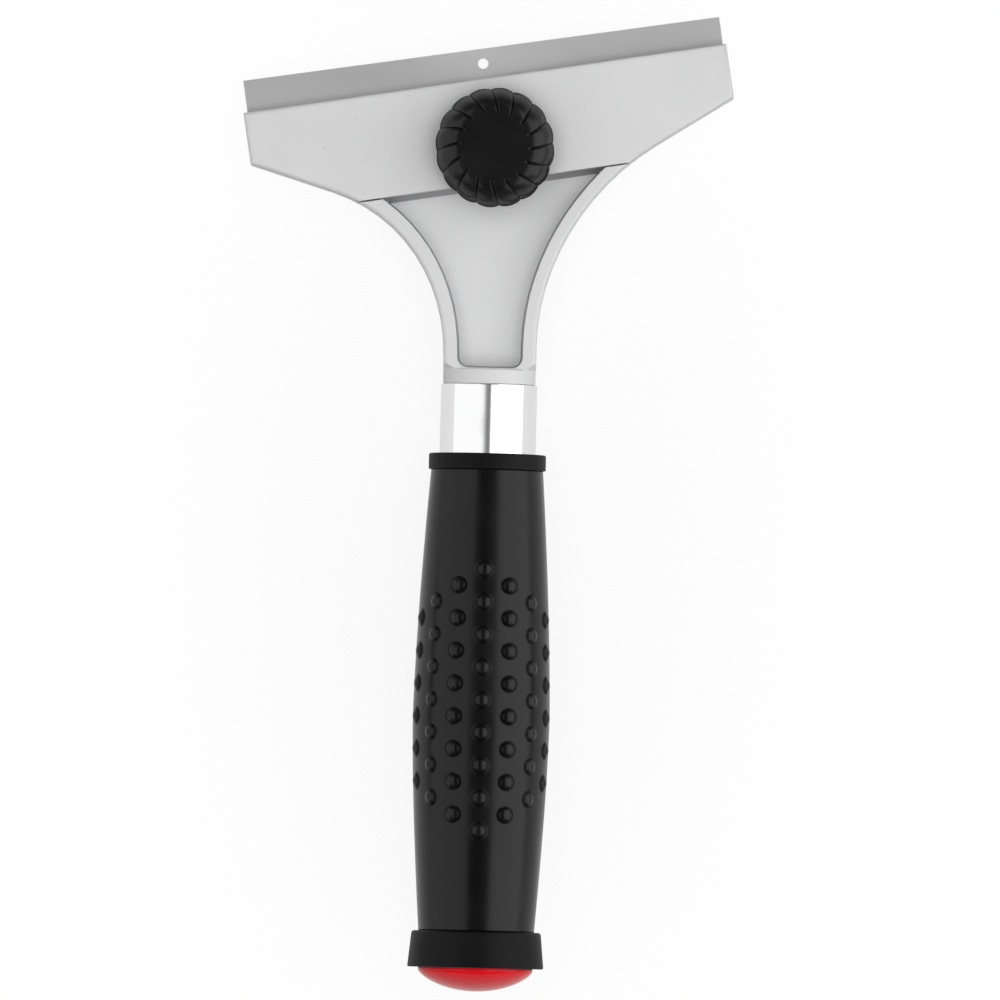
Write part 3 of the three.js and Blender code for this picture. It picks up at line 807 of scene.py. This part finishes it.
def red_finish():
    material, surface, place = start_finish("gloss_red", {"Specular IOR Level": 0.22})
    cloud = place.noise(160, 3).rise(0.3, 0.75)
    haze = place.noise(700, 3).rise(0.6, 0.75)
    feed(surface, {
        "Base Color": cloud.tint(red_bright, red_deep),
        "Roughness": 0.12 + 0.08 * haze,
        "Normal": place.noise(420, 1).bump(0.03, 0.05 * mm),
    })
    return material


button_shape = turned(button_outline(), looped=False)
fit_piece("domed_button", button_shape, red_finish(), "end_button", "base")


# Floor: a white table under the tool, which lies on the grip's swell and the back of the head. The
# camera, gloss and glass see it as white, with the tool's shadow on it. Black cards lie on it, out of
# the camera's sight: they edge the chrome with grey and, where they are thick, the grip with black.
floor_radius = 0.6
floor_steps = 96
floor_white = (0.72, 0.72, 0.72, 1)
floor_grey = (0.68, 0.68, 0.68, 1)
floor_share = 0.88
fade_aside = 0.13
fade_along = 0.24
fade_ends = (0.15, 0.75)
card_lift = 0.3 * mm
card_reach = {"head": 0.6, "grip": 0.14}
card_step = (2 * mm, -6 * mm)
card_end = (-78 * mm, -60 * mm)
card_thin = 0.24
card_thick = 0.95
card_edge = (0.95, 1.05)
white = (1, 1, 1, 1)
cloth_black = (0.01, 0.01, 0.01, 1)
cloth_grey = (0.02, 0.02, 0.02, 1)


def resting_points():
    """The two points of the tool, behind and ahead of the tube's bare stretch, that it rests on."""
    hull = []
    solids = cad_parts.values()
    for y, z in sorted((each.co.y, each.co.z) for solid in solids for each in solid.data.vertices):
        point = Vector((y, z))
        while len(hull) > 1 and (hull[-1] - hull[-2]).cross(point - hull[-2]) <= 0:
            hull.pop()
        hull.append(point)
    ahead = next(index for index, point in enumerate(hull) if point.x > collar_high.y)
    return hull[ahead - 1], hull[ahead]


def background_rays(tree):
    """1 for the rays that see the background as white: the camera's, and those in gloss and glass."""
    path = tree.nodes.new("ShaderNodeLightPath")
    camera_ray, glossy_ray, clear_ray = [
        Signal(path.outputs[name]) for name in ("Is Camera Ray", "Is Glossy Ray", "Is Transmission Ray")
    ]
    return camera_ray.larger(glossy_ray).larger(clear_ray)


def floor_finish():
    material, surface, place = start_finish("white_table", {"Roughness": 1, "Specular IOR Level": 0})
    faded = place.stretched((1 / fade_aside, 1 / fade_along, 0)).length().rise(*fade_ends)
    share = floor_share + (1 - floor_share) * faded
    speckle = place.noise(500, 2).rise(0.2, 0.8)
    feed(surface, {"Base Color": speckle.tint(floor_white, floor_grey)})
    glow = place.add("Emission", {}, {"Color": white, "Strength": 1})
    overlay(surface, background_rays(material.node_tree) * share, glow)
    return material


def start_cloth(name):
    """A new matte black finish, which still lacks its density."""
    material, surface, place = start_finish(name, {"Roughness": 1})
    feed(surface, {"Base Color": place.noise(40).tint(cloth_black, cloth_grey)})
    return material, surface, place


def card_finish():
    material, surface, place = start_cloth("black_cards")
    along = place.part("Y")
    by_grip = along.rise(*card_step) * along.rise(*card_end)
    narrowing = 1 / card_reach["head"] + (1 / card_reach["grip"] - 1 / card_reach["head"]) * by_grip
    thick = (abs(place.part("X")) * narrowing).rise(*card_edge)
    feed(surface, {"Alpha": card_thin + (card_thick - card_thin) * thick})
    return material


def lay_disc(name, material, lift):
    """A disc under the tool, which leans with the line that the tool rests on."""
    grip_rest, head_rest = resting_points()
    slope = (head_rest.y - grip_rest.y) / (head_rest.x - grip_rest.x)
    shape = bmesh.new()
    bmesh.ops.create_circle(shape, cap_ends=True, segments=floor_steps, radius=floor_radius)
    disc = set_out(name, shape, material)
    disc.location = (handle_axis.x, 0, grip_rest.y - grip_rest.x * slope + lift)
    disc.rotation_euler = (math.atan(slope), 0, 0)
    return disc


floor = lay_disc("white_table", floor_finish(), 0)
cards = lay_disc("black_cards", card_finish(), card_lift)
cards.visible_camera = False
cards.visible_diffuse = False
cards.visible_shadow = False


# Light: a soft overhead lamp in a white room, with a long bright panel on the right. A strip of black
# gauze overhead darkens the tops of round and glossy pieces, and is thin and narrow over the tube.
# Black flags close the two ends of the room.
panel_tilt = math.radians(47)
panel_spread = math.radians(42)
panel_radiance = 0.5
panel_distance = 1.0
panel_length = 1.8
panel_width = 2 * panel_distance * math.tan(panel_spread)
overhead_size = 0.7
overhead_radiance = 3.2
overhead_height = 0.9
gauze_height = 0.95
gauze_density = 0.9
gauze_reach = {"left": 0.4, "right": 0.5}
gauze_edge = 0.6
slit_middle = 42.5 * mm
slit_length = (12 * mm, 18 * mm)
slit_density = 0.78
slit_reach = {"left": 0.27, "right": 0.17}
slit_edge = 0.1
flag_density = 0.78
flag_width = 2.6
room_fill = 0.5


def hang_lamp(name, width, length, radiance):
    """An area lamp out of the camera's sight, whose face has a given radiance."""
    radiance_to_power = 4
    light = bpy.data.lights.new(name, "AREA")
    light.shape = "RECTANGLE"
    light.size = width
    light.size_y = length
    light.energy = radiance_to_power * radiance * width * length
    lamp = bpy.data.objects.new(name, light)
    lamp.visible_camera = False
    bpy.context.scene.collection.objects.link(lamp)
    return lamp


def add_sheet(shape, width, length, place):
    """Adds a flat rectangle to a shape."""
    size = Matrix.Diagonal((width, length, 1, 1))
    bmesh.ops.create_grid(shape, x_segments=1, y_segments=1, size=0.5, matrix=place @ size)


def gauze_finish():
    material, surface, place = start_cloth("black_gauze")
    aside = place.part("X")

    def across(reach):
        """0 over the handle and 1 at the reach on each side."""
        return (aside * (-1 / reach["left"])).larger(aside * (1 / reach["right"]))

    thick = gauze_density * across(gauze_reach).rise(1, gauze_edge)
    thin = slit_density * across(slit_reach).rise(1, slit_edge)
    beyond_slit = abs(place.part("Y") - slit_middle).rise(*slit_length)
    feed(surface, {"Alpha": thin + (thick - thin) * beyond_slit})
    return material


panel = hang_lamp("bright_panel", panel_width, panel_length, panel_radiance)
panel.location = panel_distance * Vector((math.sin(panel_tilt), 0, math.cos(panel_tilt)))
panel.rotation_euler = (0, panel_tilt, 0)
overhead = hang_lamp("overhead", overhead_size, overhead_size, overhead_radiance)
overhead.location = (0, 0, overhead_height)
overhead.visible_glossy = False

gauze_shape = bmesh.new()
add_sheet(gauze_shape, 2 * gauze_reach["right"], panel_length, Matrix())
gauze = set_out("black_gauze", gauze_shape, gauze_finish())
gauze.location = (handle_axis.x, 0, gauze_height)
gauze.visible_camera = False

flag_finish = start_finish("black_flag", {"Base Color": cloth_black, "Alpha": flag_density})[0]
flag_shape = bmesh.new()
flag_upright = Matrix.Rotation(math.pi / 2, 4, "X")
for end in (-1, 1):
    flag_place = Matrix.Translation((0, end * panel_length / 2, gauze_height / 2))
    add_sheet(flag_shape, flag_width, gauze_height, flag_place @ flag_upright)
flags = set_out("black_flags", flag_shape, flag_finish)
flags.visible_camera = False

world = bpy.data.worlds.new("white_room")
world.use_nodes = True
room = world.node_tree.nodes["Background"]
room.inputs["Color"].default_value = white
room.inputs["Strength"].default_value = room_fill
seen_white = background_rays(world.node_tree)
overlay(room, seen_white, seen_white.add("Background", {}, {"Color": white, "Strength": 1}))
bpy.context.scene.world = world
bpy.context.scene.view_settings.view_transform = "Standard"


# Camera: a long lens over the tool, a little towards its butt, with the handle leaning to the right.
# The photograph is 1000 pixels square, and the knob's middle is at a known pixel of it.
image_pixels = 1000
pixels_per_metre = 4800
camera_distance = 4.5
camera_pitch = math.radians(1.3)
camera_lean = math.radians(1.381)
knob_pixel = Vector((494.9, 147.1))
focal_pixels = pixels_per_metre * camera_distance
film_width = 36
farthest_seen = 20
lens = bpy.data.cameras.new("long_lens")
lens.sensor_width = film_width
lens.lens = focal_pixels / image_pixels * film_width
lens.clip_end = farthest_seen
camera = bpy.data.objects.new("long_lens", lens)
camera.rotation_euler = (camera_pitch, 0, camera_lean)
knob_middle = (knob_low + knob_high) / 2
knob_distance = camera_distance - (knob_middle.z - handle_axis.z)
from_centre = Vector((knob_pixel.x - image_pixels / 2, image_pixels / 2 - knob_pixel.y))
knob_offset = from_centre * knob_distance / focal_pixels
to_knob = camera.rotation_euler.to_matrix() @ Vector((*knob_offset, -knob_distance))
camera.location = knob_middle - to_knob
bpy.context.scene.collection.objects.link(camera)
bpy.context.scene.camera = camera
